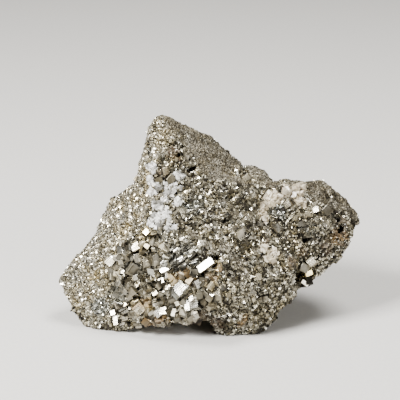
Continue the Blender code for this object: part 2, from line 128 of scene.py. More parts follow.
def step(low, high, value):
    """0 below low, 1 above high, and a smooth S-curve between them."""
    share = np.clip((value - low) / (high - low), 0, 1)
    return share * share * (3 - 2 * share)


def face_frame(places):
    """Places in metres as millimetres along the broad face, up it and into it."""
    local = places / MM - FACE_FOOT
    return local[:, 0], local @ FACE_UP, local @ FACE_IN


def near(places, discs):
    """1 in the middle of the nearest disc (x, up, radius), falling to 0 at its edge."""
    x, up, into = face_frame(places)
    shares = [1 - step(DISC_CORE * reach, reach, np.hypot(x - at_x, up - at_up))
              for at_x, at_up, reach in discs]
    return np.max(shares, 0) * (into < FACE_REACH)


def noise_at(places, width, shift=0.0):
    """Smooth noise from about -1 to 1 whose bumps are this many millimetres wide.

    Blender's own noise covers about half that range, and a shift gives another pattern."""
    return np.array([noise.noise(Vector(place)) for place in places / (width * MM) + shift]) * 2


POCKET = [
    (-20, 12, 10), (-12, 12.5, 11), (-3.5, 14.5, 7.5), (-16, 21, 9), (-23, 20, 8),
]
EDGE_HOLLOW = [(28.0, 19.5, 5.0), (29.5, 22.5, 3.5)]
HOLLOWS = POCKET + EDGE_HOLLOW

# Outward directions of the two fine-grained fracture faces, and the cosines where they begin and end
FINE_FLANK = (np.array((-0.72, -0.35, 0.6)), 0.70, 0.88)
FINE_CLEFT = (np.array((0.5, -0.1, 0.85)), 0.68, 0.90)
FINE_PLACES = [
    (-14, 62, 6.5), (-17.5, 57, 6), (-20, 49, 4.5), (-22.5, 42, 4), (-27, 33.5, 6), (-32.5, 24, 7),
    (-36.5, 14.5, 9), (-34, 7, 5),
]


def share_of(normals, facet):
    """How much each direction belongs to a fracture face, from 0 to 1."""
    way, begins, ends = facet
    return step(begins, ends, normals @ way)


def evenness(places, normals):
    """1 where the pyrite is fine-grained and broke evenly, 0 where it is coarse and blocky."""
    faces = np.maximum(share_of(normals, FINE_FLANK), share_of(normals, FINE_CLEFT))
    return np.maximum(faces, near(places, FINE_PLACES))


print("the face leans", round(math.degrees(FACE_LEAN)), "degrees and has", len(HOLLOWS), "discs of hollow")

# %% [markdown]
# ## The skin under the grains
#
# The solid model has the right form but large flat triangles, and a thin gap round each crust of
# crystals. A voxel remesh of all its pieces together closes those gaps and gives an even mesh.

# %% Remesh the solids into one skin
SKIN_VOXEL = 0.6  # millimetres


def joined_copy(name, nodes):
    """One object with the meshes of several nodes of the solid model."""
    bm = bmesh.new()
    for node_name in nodes:
        bm.from_mesh(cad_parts[node_name].data)
    mesh = bpy.data.meshes.new(name)
    bm.to_mesh(mesh)
    bm.free()
    return linked(name, mesh)


def bake_modifiers(piece):
    """Replaces a piece's mesh with what its modifiers make of it."""
    graph = bpy.context.evaluated_depsgraph_get()
    mesh = bpy.data.meshes.new_from_object(piece.evaluated_get(graph))
    piece.modifiers.clear()
    piece.data = mesh


def numbers(items, name, kind, width):
    """One property of all of a mesh's elements, as an array."""
    found = np.empty(len(items) * width, kind)
    items.foreach_get(name, found)
    return found.reshape(-1, width)


def points(piece, name):
    """The places or the normals of a piece's points."""
    return numbers(piece.data.vertices, name, np.float32, 3).astype(float)


skin = joined_copy("massive_pyrite_skin", ["massive_pyrite", "pocket_crystals", "edge_crystals"])
remesh = skin.modifiers.new("remesh", "REMESH")
remesh.mode = "VOXEL"
remesh.voxel_size = SKIN_VOXEL * MM
bake_modifiers(skin)
skin_places = points(skin, "co")
skin_normals = points(skin, "normal")
print("skin faces:", len(skin.data.polygons))

# %% [markdown]
# ## Blocks and pits
#
# A mass of crystals breaks into blocks: each stands at its own height, with a groove round it, and
# smaller knobs break up each block again. Blocks are the cells round scattered seeds, so a tree of
# seeds is enough to find which block a place is in and how near its groove is. Where a crystal fell
# out there is a pit, and the larger pits are placed one by one.

# %% Find the block that each place is in
BLOCK_SPACING, KNOB_SPACING = 3.4, 1.5
GROOVE_FLOOR, GROOVE_RIM = 0.02, 0.30  # where a groove starts to rise and ends, in spacings

random = np.random.default_rng(26)


def thinned(places, spacing):
    """The numbers of the places that are kept when each grid cell of this size keeps only one."""
    cells = np.floor(places / (spacing * MM)).astype(np.int64) + 4096
    keys = (cells[:, 0] << 40) + (cells[:, 1] << 20) + cells[:, 2]
    return np.unique(keys, return_index=True)[1]


def seed_tree(places, spacing):
    """A search tree of block seeds, thinned from places, and the height of each seed's block."""
    seeds = places[thinned(places, spacing)]
    tree = KDTree(len(seeds))
    for number, seed in enumerate(seeds):
        tree.insert(seed, number)
    tree.balance()
    return tree, random.random(len(seeds)) * 2 - 1


def block_relief(places, tree, heights, spacing):
    """The height of the block that each place is in, and 1 in the groove round it, 0 inside."""
    lifts, grooves = np.empty(len(places)), np.empty(len(places))
    for i, place in enumerate(places):
        (_, number, nearest), (_, _, second) = tree.find_n(place, 2)
        lifts[i] = heights[number]
        grooves[i] = second - nearest
    return lifts, 1 - step(GROOVE_FLOOR * spacing, GROOVE_RIM * spacing, grooves / MM)


block_seeds, block_heights = seed_tree(skin_places, BLOCK_SPACING)
knob_seeds, knob_heights = seed_tree(skin_places, KNOB_SPACING)
print("blocks:", len(block_heights), "and knobs:", len(knob_heights))

# %% Mark the pits
# x, up, width, height, turn in degrees
PITS = [
    (-5.6, 49.4, 3.6, 1.1, 32), (-9.3, 53.7, 2.6, 1.2, 25), (-6.6, 52.3, 1.6, 1.1, 10),
    (-8.2, 56, 1.2, 1.5, 40), (-12.9, 48.9, 1.6, 1, 60), (-9.9, 51.6, 1.5, 1.2, 0),
    (3.6, 34.2, 1.8, 1.4, 50), (27.6, 28.5, 2.2, 1.9, 15), (25.6, 32.1, 1.4, 1.4, 60),
    (38.6, 31.2, 2.2, 1.6, 30), (37.8, 34.2, 1.6, 1.6, 0), (9.9, 49.5, 0.8, 2.4, 5),
    (1.6, 23.4, 1.8, 1.3, 45), (10.5, 22.8, 1.4, 1.4, 20), (16.5, 12.5, 1.4, 1.1, 35),
    (-26.4, 33, 1, 0.8, 0), (-32.7, 24.6, 1, 0.7, 20), (-28.5, 25.2, 0.9, 0.8, 60),
    (-29.7, 22.2, 1.1, 0.7, 0), (-31.2, 21, 0.9, 0.7, 30), (-34.8, 22.5, 0.8, 0.8, 0),
    (-26.4, 14.4, 0.9, 0.9, 0), (9.6, 30.4, 1.3, 1.1, 30), (-2, 44, 1.4, 0.8, 30),
    (6, 41, 1.2, 1, 70), (31, 38, 1.6, 1, 20), (22, 21, 1.2, 1.2, 0), (-3, 33, 1.2, 0.9, 40),
]
PIT_WALL = (0.5, 1.1)  # where its wall starts and ends, as shares of its half width


def pit_share(places):
    """1 in the middle of a pit, 0 at its rim and outside."""
    x, up, into = face_frame(places)
    share = np.zeros(len(places))
    for at_x, at_up, width, height, turn in PITS:
        cos, sin = math.cos(math.radians(turn)), math.sin(math.radians(turn))
        along = ((x - at_x) * cos + (up - at_up) * sin) / (width / 2)
        across = ((up - at_up) * cos - (x - at_x) * sin) / (height / 2)
        share = np.maximum(share, 1 - step(*PIT_WALL, np.hypot(along, across)))
    return share * (into < FACE_REACH)


print("pits:", len(PITS))

# %% Break the skin into blocks
SKIN_SINK = 0.25  # about half a grain
PIT_DEPTH = 1.5
SWELL_WIDTH, SWELL_HEIGHT = 6.0, 0.45
BLOCK_RISE, BLOCK_GROOVE = 0.26, 0.32
KNOB_RISE, KNOB_GROOVE = 0.16, 0.16
KNOB_DARK = 0.6  # how deep a knob's groove counts beside a block's
EVEN_SWELL, EVEN_ROUGH = 0.5, 0.15  # what the fine-grained places keep of the swells and the blocks
FOOT_STILL, FOOT_FREE = 0.3, 2.0  # the heights below which the skin stays put and above which it moves


def relief(places, normals):
    """How far the skin stands out at each place, in millimetres, and how deep in a groove it is."""
    even = evenness(places, normals)
    rough = 1 - (1 - EVEN_ROUGH) * even
    lifts, grooves = block_relief(places, block_seeds, block_heights, BLOCK_SPACING)
    knob_lifts, knob_grooves = block_relief(places, knob_seeds, knob_heights, KNOB_SPACING)
    height = SWELL_HEIGHT * noise_at(places, SWELL_WIDTH) * (1 - (1 - EVEN_SWELL) * even)
    height += rough * (BLOCK_RISE * lifts - BLOCK_GROOVE * grooves
                       + KNOB_RISE * knob_lifts - KNOB_GROOVE * knob_grooves)
    return height, rough * np.maximum(grooves, KNOB_DARK * knob_grooves)


skin_height, _ = relief(skin_places, skin_normals)
skin_height -= SKIN_SINK + PIT_DEPTH * pit_share(skin_places)
free_to_move = step(FOOT_STILL * MM, FOOT_FREE * MM, skin_places[:, 2])
skin_places += skin_normals * (skin_height * free_to_move * MM)[:, None]
skin_places[:, 2] = np.maximum(skin_places[:, 2], 0.0)
skin.data.vertices.foreach_set("co", skin_places.astype(np.float32).ravel())
skin.data.update()
skin_normals = points(skin, "normal")
print("deepest pit:", round(float(skin_height.min()), 2), "mm")

# %% [markdown]
# ## Quartz and rust
#
# White quartz fills the space between the crystals near the peak, and cream quartz lies near the top of the
# blunt end. Water has turned a little of the pyrite to brown iron oxide, mostly in the hollows, and some
# grains are tarnished yellow or blue-grey. The darker patches are partly tarnished grains and partly
# painted shade in folds. All are ragged patches on the broad face: lists of discs (x, up, radius), whose
# edges noise breaks up.

# %% Patches on the broad face
PATCH_EDGE = (0.15, 0.65)
WHITE_QUARTZ = [
    (-17.2, 49.6, 1.7), (-17.1, 46.2, 1.7), (-16.6, 43.2, 2), (-11.9, 43.8, 2.7), (-9.5, 47.4, 1.5),
    (-14.6, 38.4, 2.7), (-14.2, 35.8, 2.6), (-16.6, 33, 1.9), (-9.8, 39.2, 1.6), (-11.7, 32.6, 1.6),
]
CREAM_QUARTZ = [
    (18.6, 40.6, 2.6), (20.8, 41.2, 1.6), (21.9, 43.4, 1.3), (25.8, 42.4, 2.4), (26.6, 39.8, 1.9),
    (15.3, 38.4, 1.4), (15, 36.3, 1.3), (15.9, 34.5, 1.2), (17.6, 23.9, 2.2), (15.4, 25.8, 1.5),
]
ORANGE_RUST = [
    (38, 29.3, 3.4), (-7.2, 18.3, 2.6), (-6, 16.2, 2.2), (-0.3, 17.6, 2.2), (-10.5, 17.5, 2.2),
    (1.8, 20.4, 1.8), (-20, 9.5, 2.6), (-14, 5.8, 2.4), (-18.3, 5, 2), (8.7, 4.2, 1.6),
    (9.5, 6, 1.4),
]
BROWN_RUST = [
    (37.8, 29.6, 3.4), (34.5, 26.4, 2.8), (-14.7, 48, 2), (39, 33.5, 2.6), (-11.1, 53.7, 2.6),
    (15.9, 27.2, 2.4), (-3.3, 5.4, 3.8), (27.3, 24.6, 2.4), (24, 21.6, 2.2), (1.5, 4.5, 2.8),
]
YELLOW = [
    (-10.8, 17.7, 3), (-17.4, 31, 2.6), (-20, 28, 3), (24, 21.9, 2.4), (27.3, 24.6, 2.4),
    (-32, 18, 4), (-26, 31, 3), (9.9, 46, 2.4), (-11.1, 52, 3.2), (1.5, 21, 2.4),
]
BLUE_GREY = [
    (19.8, 36.9, 3.4), (-9.9, 23.1, 5), (-6, 23.6, 3.6), (-28, 12.5, 4), (-9, 14.1, 2.4),
    (-11.4, 8.7, 1.6), (-33, 9, 3.5), (-22.5, 19.8, 3.4), (-4.5, 39, 4),
]
# Darker pyrite: tarnished grains, and painted shade where grains stand in a fold or under a ledge
DARK_TARNISH_AND_SHADE = [
    (4.8, 34.5, 2.6), (27.6, 33.6, 3.4), (37.5, 35.7, 3), (25.2, 21.9, 2.8), (9.6, 27.6, 2.2),
    (-2, 5.6, 5), (3, 4, 2.6), (-4.5, 21.3, 2.8), (-8, 20.4, 2.4), (-5.5, 42, 2.4), (4.5, 44.1, 2),
    (10.8, 43.5, 2.2), (20.4, 44.1, 1.8), (31.5, 29, 3), (22, 29.5, 2.6), (-24.5, 17.5, 1.8),
    (33, 41.5, 2.4), (40.3, 38.8, 2.2), (41.8, 35.6, 1.6), (30, 44.6, 1.6),
]


def patch(places, discs, ragged=0.5, width=1.6, shift=0.0):
    """How much each place belongs to ragged patches, from 0 to 1."""
    share = near(places, discs)
    inside = share > 0
    share[inside] += ragged * noise_at(places[inside], width, shift)
    return step(*PATCH_EDGE, share) * inside


print("per cent of the skin with brown rust:", round(100 * patch(skin_places, BROWN_RUST).mean(), 1))

# %% [markdown]
# ## Dropping points on the skin
#
# Points are dropped on the skin at random, evenly by area. Later one is kept in each cell of a grid,
# which spreads the grains evenly without a slow search.

# %% Drop points
DROPS = 450_000


def dropped(piece, normals, count):
    """Random places on a piece's triangles, the skin's direction at each, and the area in all."""
    piece.data.calc_loop_triangles()
    corners = numbers(piece.data.loop_triangles, "vertices", np.int32, 3)
    triangles = points(piece, "co")[corners]
    edges = triangles[:, 1:] - triangles[:, :1]
    areas = np.linalg.norm(np.cross(edges[:, 0], edges[:, 1]), axis=1) / 2
    chosen = np.searchsorted(np.cumsum(areas) / areas.sum(), random.random(count))
    shares = random.random((count, 2))
    over = shares.sum(1) > 1
    shares[over] = 1 - shares[over]
    weights = np.column_stack((1 - shares.sum(1), shares))
    places = (triangles[chosen] * weights[:, :, None]).sum(1)
    ways = (normals[corners[chosen]] * weights[:, :, None]).sum(1)
    return places, ways / np.linalg.norm(ways, axis=1)[:, None], areas.sum()


places, ways, skin_area = dropped(skin, skin_normals, DROPS)
print("skin area:", round(skin_area / MM**2), "square mm")

# %% [markdown]
# ## Crystal shapes
#
# Pyrite grows as cubes and, less often, as octahedra. The larger cubes get narrow chamfers, because a
# real edge is never perfectly sharp and its thin bright line is what makes a small crystal read as
# one. A grain is only two picture points across, so a plain cube or octahedron is enough there.

# %% Shapes and turns
CHAMFER = 0.045  # as a share of the cube's edge
OCTAHEDRON_REACH = 0.78  # from its middle to a tip, so that it looks as large as a cube of edge 1
CUBE = (np.array([(x, y, z) for x in (-1, 1) for y in (-1, 1) for z in (-1, 1)]) / 2,
        np.array([(0, 1, 3), (0, 3, 2), (4, 6, 7), (4, 7, 5), (0, 4, 5), (0, 5, 1),
                  (2, 3, 7), (2, 7, 6), (0, 2, 6), (0, 6, 4), (1, 5, 7), (1, 7, 3)]))
TIPS = np.array([(1, 0, 0), (-1, 0, 0), (0, 1, 0), (0, -1, 0), (0, 0, 1), (0, 0, -1)])
OCTAHEDRON = (TIPS * OCTAHEDRON_REACH,
              np.array([(0, 2, 4), (2, 1, 4), (1, 3, 4), (3, 0, 4),
                        (2, 0, 5), (1, 2, 5), (3, 1, 5), (0, 3, 5)]))


def chamfered_cube(chamfer):
    """The corners and triangles of a cube of edge 1 whose edges are cut back by this much.

    Triangulating lists the triangles in another order each time, so they are sorted."""
    bm = bmesh.new()
    bmesh.ops.create_cube(bm, size=1.0)
    bmesh.ops.bevel(bm, geom=bm.edges[:], offset=chamfer, segments=1, affect="EDGES")
    bmesh.ops.triangulate(bm, faces=bm.faces[:])
    bm.verts.index_update()
    corners = np.array([vert.co[:] for vert in bm.verts])
    triangles = [np.array([vert.index for vert in face.verts]) for face in bm.faces]
    bm.free()
    return corners, np.array(sorted(tuple(np.roll(ring, -ring.argmin())) for ring in triangles))


def random_turns(count):
    """Rotation matrices, evenly spread over all directions."""
    quaternions = random.normal(size=(4, count))
    w, x, y, z = quaternions / np.linalg.norm(quaternions, axis=0)
    rows = (
        (1 - 2 * (y * y + z * z), 2 * (x * y - z * w), 2 * (x * z + y * w)),
        (2 * (x * y + z * w), 1 - 2 * (x * x + z * z), 2 * (y * z - x * w)),
        (2 * (x * z - y * w), 2 * (y * z + x * w), 1 - 2 * (x * x + y * y)),
    )
    return np.array(rows).transpose(2, 0, 1)


CHAMFERED = chamfered_cube(CHAMFER)
print("a chamfered cube has", len(CHAMFERED[1]), "triangles and a plain one has", len(CUBE[1]))

# %% [markdown]
# ## What a finish needs to know of each crystal
#
# Each crystal carries marks that the finishes read: its own tone, its tint between silver and brass, how
# stained it is, how deep it lies in a groove or a pit, which the finish darkens as painted shade, or in a
# darker patch of tarnish and painted shade, and whether it lies on a fine-grained face, whose tones carry
# painted light and shade. Each also gets a cell of its own on a texture map, so that the finish can be
# baked to a picture where an engine needs one.

# %% Marks of each crystal
TINT_SPREAD = 0.15  # how much neighbours differ
TINT_DRIFT, TINT_WIDTH = 0.25, 4.0  # a slow change, and its width in millimetres
YELLOWER, BLUER = 0.4, 0.9
RUST_BIAS = 0.7  # under 1, so that most stained crystals are well stained
# how much of a pit counts in the groove mark, which the finish darkens as painted shade
PIT_SHADE = 0.6


def marks_of(places, ways):
    """What the finishes look up for each crystal. Each shift gives its patches edges of their own."""
    count = len(places)
    tint = random.normal(0, TINT_SPREAD, count) + TINT_DRIFT * noise_at(places, TINT_WIDTH, 17.0)
    tint += YELLOWER * patch(places, YELLOW, shift=3) - BLUER * patch(places, BLUE_GREY, shift=5)
    return {
        "tone": random.random(count),
        "tint": np.clip(tint / 2 + 0.5, 0, 1),
        "orange": patch(places, ORANGE_RUST, shift=7) * random.random(count) ** RUST_BIAS,
        "brown": patch(places, BROWN_RUST, shift=9) * random.random(count) ** RUST_BIAS,
        # groove sets the painted shade in grooves, in pits and in the darker patches, which are partly
        # tarnish
        "groove": np.max((relief(places, ways)[1], PIT_SHADE * pit_share(places),
                          patch(places, DARK_TARNISH_AND_SHADE, ragged=0.8, width=1.8, shift=11)), axis=0),
        # light picks lighter tones, painted light on the fine-grained flank that faces the main light; dull
        # picks a duller polish and darker tones, painted shade on the cleft that faces away
        "light": evenness(places, ways) * (1 - share_of(ways, FINE_CLEFT)),
        "dull": share_of(ways, FINE_CLEFT),
    }


# %% Map cells and growth lines
HALVES = np.array([[(0, 0), (1, 0), (1, 1)], [(0, 0), (1, 1), (0, 1)]])
CELL_EDGE = 0.12  # the gap round each pair of triangles in a cell


def cell_corners(first, count, triangle_count, cells):
    """Where each triangle's corners lie on a map with cells by cells cells, one for each crystal."""
    pairs = (triangle_count + 1) // 2
    across = math.ceil(math.sqrt(pairs))
    triangle = np.arange(triangle_count)
    slots = np.column_stack((triangle // 2 % across, triangle // 2 // across))[:, None]
    inside = slots + CELL_EDGE + (1 - 2 * CELL_EDGE) * HALVES[triangle % 2]
    inside = inside / (across, math.ceil(pairs / across))
    crystal = first + np.arange(count)
    return (np.column_stack((crystal % cells, crystal // cells))[:, None, None] + inside) / cells


def stripe_axes(corners, triangles):
    """Which of the crystal's own axes runs across the growth lines of each triangle's face."""
    first, second, third = corners[triangles].transpose(1, 0, 2)
    return (np.abs(np.cross(second - first, third - first)).argmax(1) + 1) % 3


# %% [markdown]
# ## One piece of many crystals
#
# Crystals are joined into one mesh from arrays, which is quick for tens of thousands of them. On top of the
# marks of whole crystals come two that vary over each one: how deep a corner sits, for the painted shade
# and the rust low between the grains, and where it lies across the fine growth lines.

# %% Join crystals into a piece
STRIPE_SHIFT = 100  # sets each crystal's growth lines apart from its neighbours'


def add_marks(piece, marks, domain):
    """Writes named values on a mesh's faces, points or face corners."""
    for mark, values in marks.items():
        layer = piece.data.attributes.new(mark, "FLOAT", domain)
        layer.data.foreach_set("value", values.astype(np.float32).ravel())


def shaped(mine, habit, turns, centres, sizes, stretches):
    """The crystals that stand clear of the floor, and their corners before and after the turn."""
    _, (corners, _), uneven, chipped = habit
    stretch = 1 + (random.random((len(mine), 1, 3)) * 2 - 1) * uneven
    if stretches is not None:
        stretch = stretches[mine][:, None, :]
    chips = (random.random((len(mine), len(corners), 3)) * 2 - 1) * chipped
    own = (corners * stretch + chips) * sizes[mine][:, None, None]
    turned = np.einsum("nij,nkj->nki", turns[mine], own)
    clear = (turned + centres[mine][:, None])[:, :, 2].min(1) > 0
    return mine[clear], own[clear], turned[clear]


def crystal_piece(name, places, ways, sizes, habits, stand, turns=None, stretches=None, own_marks=()):
    """One piece of many crystals, whose middles stand this share of their size out of the skin.

    Each habit is its share of the crystals, its shape, how uneven and how chipped it is."""
    marks = marks_of(places, ways) | dict(own_marks)
    centres = places + ways * (sizes * stand)[:, None]
    turns = random_turns(len(places)) if turns is None else turns
    draw = random.random(len(places))
    cells = math.ceil(math.sqrt(len(places)))
    verts, faces, whose, heights, stripes, maps = [], [], [], [], [], []
    start, offset, first = 0.0, 0, 0
    for habit in habits:
        share, (corners, triangles) = habit[:2]
        mine = np.flatnonzero((draw >= start) & (draw < start + share))
        start += share
        mine, own, turned = shaped(mine, habit, turns, centres, sizes, stretches)
        crystal = np.arange(len(mine))
        across = own[crystal[:, None, None], triangles, stripe_axes(corners, triangles)[:, None]]
        verts.append((turned + centres[mine][:, None]).reshape(-1, 3))
        faces.append((triangles + (crystal * len(corners))[:, None, None] + offset).reshape(-1, 3))
        whose.append(np.repeat(mine, len(triangles)))
        heights.append((np.einsum("nki,ni->nk", turned, ways[mine]) / sizes[mine][:, None] + stand).ravel())
        stripes.append((across / MM + STRIPE_SHIFT * marks["tone"][mine][:, None, None]).ravel())
        maps.append(cell_corners(first, len(mine), len(triangles), cells).ravel())
        offset += len(mine) * len(corners)
        first += len(mine)
    piece = placed_mesh(name, np.concatenate(verts), np.concatenate(faces))
    whose = np.concatenate(whose)
    add_marks(piece, {mark: values[whose] for mark, values in marks.items()}, "FACE")
    add_marks(piece, {"height": np.concatenate(heights)}, "POINT")
    add_marks(piece, {"stripe": np.concatenate(stripes)}, "CORNER")
    layer = piece.data.uv_layers.new(name="OFBake")
    layer.uv.foreach_set("vector", np.concatenate(maps).astype(np.float32))
    print(name, len(whose), "triangles")
    return piece


# %% [markdown]
# ## The cubes placed one by one
#
# The eye goes to the larger cubes first, so each is placed one by one: where it stands on the broad face,
# its edge, and how it spins in the plane of the face, nods and faces sideways. Real cubes grow in steps, so
# those in the pocket get three smaller ones of the same turn, grown half into their faces, and those on the
# open face get one. The smooth cubes of the small hollow have none, and neither has the brightest cube.
# Each is seated on the skin by a ray cast straight at the face, and the points inside it are dropped, so
# that no grain grows there.

# %% List the large cubes
# x, up, edge, spin, and how far its front face tips up and turns right, in degrees, then its tone and
# tint from 0 to 1, and where it isn't a true cube, its stretches along its own three edges. A front
# face that tips up by 16 degrees and turns left by 21 mirrors the main light, and one that tips up by 4
# and turns right by 24 mirrors the faint one.
POCKET_CUBES = [
    (-1.4, 21.1, 2.9, 38, 16, -21, 1, 0.5, 1.9, 0.9, 0.82),
    (-21, 7.9, 3.3, 43, 12, -10, 0.45, 0.6),
    (-22.2, 10.2, 2.6, 35, -30, 10, 0.5, 0.8, 1.1, 0.9, 1),
    (-8.4, 14.1, 3.7, 50, 20, -31, 0.98, 0.2),
    (-7.4, 12.2, 2.3, 20, -20, 30, 0.5, 0.3),
    (-3.9, 15.9, 2.6, 25, 4, 20, 0.7, 0.3),
    (-0.3, 15.4, 2.5, 55, -12, 30, 0.6, 0.7),
    (0.2, 12.7, 1.7, 40, 16, -20, 0.9, 0.5),
    (-4.3, 9.6, 2.8, 12, 22, -33, 0.85, 0.25),
    (-6.9, 9.4, 1.6, 4, 14, -17, 0.9, 0.5, 0.9, 1, 2),
    (-13.9, 7.6, 2.3, 10, 13, -17, 0.95, 0.6),
    (-17.5, 8.2, 1.9, 30, -20, 25, 0.65, 0.8),
    (-14.8, 10, 2.2, 20, -20, 25, 0.6, 0.5),
    (-11.5, 8.7, 2.1, 40, -15, 25, 0.45, 0.2),
    (-16.3, 12.7, 1.7, 35, 22, -25, 0.85, 0.6),
    (-14.5, 16.5, 1.8, 20, 14, -20, 0.9, 0.5),
    (-13.4, 19.8, 1.9, 28, 18, -22, 0.95, 0.5, 1.7, 1, 0.9),
    (-19.3, 12.2, 1.6, 15, -20, 25, 0.6, 0.5),
    (-23.3, 16.2, 1.3, 5, 8, -20, 0.85, 0.8, 0.8, 1, 2),
    (-23.4, 20.2, 3.3, 62, -25, 20, 0.5, 0.35, 1.2, 1, 1),
    (-16.4, 23.1, 3.2, 6, -16, 30, 0.6, 0.4, 1, 1, 1.1),
    (-19.2, 22.4, 2.9, 15, -18, 28, 0.75, 0.6),
    (-21.6, 23.6, 2.8, 12, -15, 22, 0.75, 0.5, 1.1, 1, 1),
    (-21.9, 26.2, 2.5, 25, 22, -22, 0.85, 0.65),
    (-20.4, 27.7, 1.9, 15, -20, 25, 0.75, 0.7),
    (-25.2, 9.6, 2, 35, 20, -20, 0.85, 0.75),
]
EDGE_CUBES = [
    (29.7, 21.9, 2.5, 40, 10, -14, 0.8, 0.65, 1, 1.2, 1),
    (27, 20.5, 2.6, 66, -10, 16, 0.5, 0.35, 1, 1.6, 1),
    (28.2, 18.5, 2, 20, 4, 24, 0.98, 1, 1.2, 1.8, 0.75),
    (28.1, 15.9, 2.5, 20, 0, -46, 0.1, 0.4, 1.3, 1.1, 1),
    (26.7, 15.5, 1.8, -35, 4, 24, 1, 0.5, 1.4, 2.9, 0.7),
]
FACE_CUBES = [
    (34.2, 37.2, 2.6, 45, -4, 6, 0.5, 0.5),
    (31, 37.3, 1.8, 20, 14, -18, 0.9, 0.5),
    (8.2, 30.6, 2.4, 20, -18, 20, 0.6, 0.5),
    (19.4, 31.8, 2.2, 45, 15, 15, 0.6, 0.5),
    (22.8, 39, 2.2, 30, 4, -30, 0.7, 0.6),
    (10.2, 47, 2.2, 40, -15, 20, 0.65, 0.6),
    (-15.7, 46, 2.3, 25, -15, 20, 0.45, 0.7, 1, 1.3, 1),
    (-12.3, 46.6, 2.5, 50, -10, 25, 0.5, 0.6, 1, 1.3, 1),
    (-13.6, 48.8, 1.9, 15, -5, 20, 0.5, 0.7, 1, 1, 1.2),
    (-10.4, 36.4, 1.7, 35, -15, 20, 0.6, 0.4),
    (-18.8, 30.7, 1.8, 50, 15, -20, 0.9, 0.85),
    (-17.2, 31, 1.7, 10, 18, 20, 0.85, 0.8, 1, 1, 1.3),
    (-28.9, 6.8, 1.6, 20, 16, -20, 0.95, 0.5),
    (-28.1, 4.5, 1.5, 10, 15, -18, 0.85, 0.5, 1, 1, 1.9),
    (-26.2, 4.3, 1.4, 5, 5, 20, 0.7, 0.6, 0.9, 1, 1.6),
]
print("cubes placed by hand:", len(POCKET_CUBES + EDGE_CUBES + FACE_CUBES))

# %% Build the large cubes
TRUE_CUBE = (1.0, 1.0, 1.0)
OUTSIDE = -60.0  # millimetres in front of the broad face
LARGE_PIECES = {  # the cubes, how far they stand out as a share of their edge, and the steps on each
    "pocket_cubes": (POCKET_CUBES, -0.12, 3),
    "edge_hollow_cubes": (EDGE_CUBES, 0.30, 0),
    "face_cubes": (FACE_CUBES, -0.12, 1),
}
STEP_SIZES = (0.35, 0.75)  # least and most, as shares of the large cube
STEP_OUT = 0.12  # how far a smaller cube stands out of a face, as a share of that edge
CLEARANCE = 0.15  # millimetres that the middles of grains keep from a large cube


def face_turn(spin, tip_up, turn_right):
    """A rotation for a cube whose front face is square with the broad face until it tips and turns."""
    square = Matrix(((1, 0, 0), FACE_IN, FACE_UP)).transposed()
    turns = [Matrix.Rotation(math.radians(angle), 3, axis) for angle, axis in
             ((turn_right, "Z"), (-tip_up, "X"), (-spin, "Y"))]
    return np.array(square @ turns[0] @ turns[1] @ turns[2])


def seated(tree, x, up):
    """Where a ray straight at the broad face meets the skin, in metres."""
    start = FACE_FOOT + np.array((x, 0, 0)) + up * FACE_UP + OUTSIDE * FACE_IN
    return np.array(tree.ray_cast(Vector(start * MM), Vector(FACE_IN))[0])


def stepped(middle, turn, edges, count):
    """A cube's middle and edges, and those of the smaller cubes that stand out of its visible faces."""
    crystals = [(middle, edges)]
    for _ in range(count):
        small = edges * random.uniform(*STEP_SIZES, 3)
        shift = random.uniform(-0.5, 0.5, 3) * (edges - small)
        axis = random.integers(3)
        side = 1 if turn[:, axis] @ FACE_IN < 0 else -1
        shift[axis] = side * (edges[axis] * (1 + STEP_OUT) - small[axis]) / 2
        crystals.append((middle + turn @ shift, small))
    return crystals


def outside(places, middles, turns, edges, margin):
    """True for the places outside all of these boxes by at least this margin in millimetres."""
    free = np.ones(len(places), bool)
    for middle, turn, sides in zip(middles, turns, edges):
        close = np.flatnonzero(np.abs(places - middle).max(1) < sides.sum())
        own = np.abs((places[close] - middle) @ turn)
        free[close] &= (own > sides / 2 + margin * MM).any(1)
    return free


skin_tree = BVHTree.FromObject(skin, bpy.context.evaluated_depsgraph_get())
large_pieces = {}
for name, (rows, stand, steps_each) in LARGE_PIECES.items():
    crystals = []
    for x, up, edge, spin, tip_up, turn_right, tone, tint, *stretches in rows:
        turn = face_turn(spin, tip_up, turn_right)
        middle = seated(skin_tree, x, up) - FACE_IN * stand * edge * MM
        steps = steps_each if tone < 1 else 0
        for at, sides in stepped(middle, turn, np.array(stretches or TRUE_CUBE) * edge * MM, steps):
            crystals.append((at, turn, sides, tone, tint))
    middles, turns, sides, tones, tints = (np.array(column) for column in zip(*crystals))
    sizes = sides.mean(1)
    toward_viewer = np.tile(-FACE_IN, (len(middles), 1))
    seats = middles - toward_viewer * (sizes * stand)[:, None]
    large_pieces[name] = crystal_piece(name, seats, toward_viewer, sizes, ((1.0, CHAMFERED, 0.0, 0.0),),
                                       stand, turns, sides / sizes[:, None],
                                       {"tone": tones, "tint": tints})
    free = outside(places, middles, turns, sides, CLEARANCE)
    places, ways = places[free], ways[free]

# %% [markdown]
# ## Smaller crystals
#
# Smaller cubes crowd the pocket at random turns. Just above it the pyrite grew in thin silvery blades
# that all lean one way, so those are flat slabs with nearly the same turn. A few more cubes stand on
# the open face, half sunk, where slow noise lets them gather.

# %% Crowd the pocket with cubes
HOLLOW_RIM = 0.15  # the share from which a place counts as in a hollow
SMALL_SPACING, SMALL_STAND = 1.5, 0.05
SMALL_EDGES = (0.8, 1.5, 1.8)  # least, spread and bias
SMALL_HABITS = ((0.7, CHAMFERED, 0.12, 0.0), (0.3, CUBE, 0.2, 0.12))


def random_edges(count, least, spread, bias):
    """Edges in metres from a least and a spread in millimetres. A bias over 1 makes more small ones."""
    return (least + spread * random.random(count) ** bias) * MM


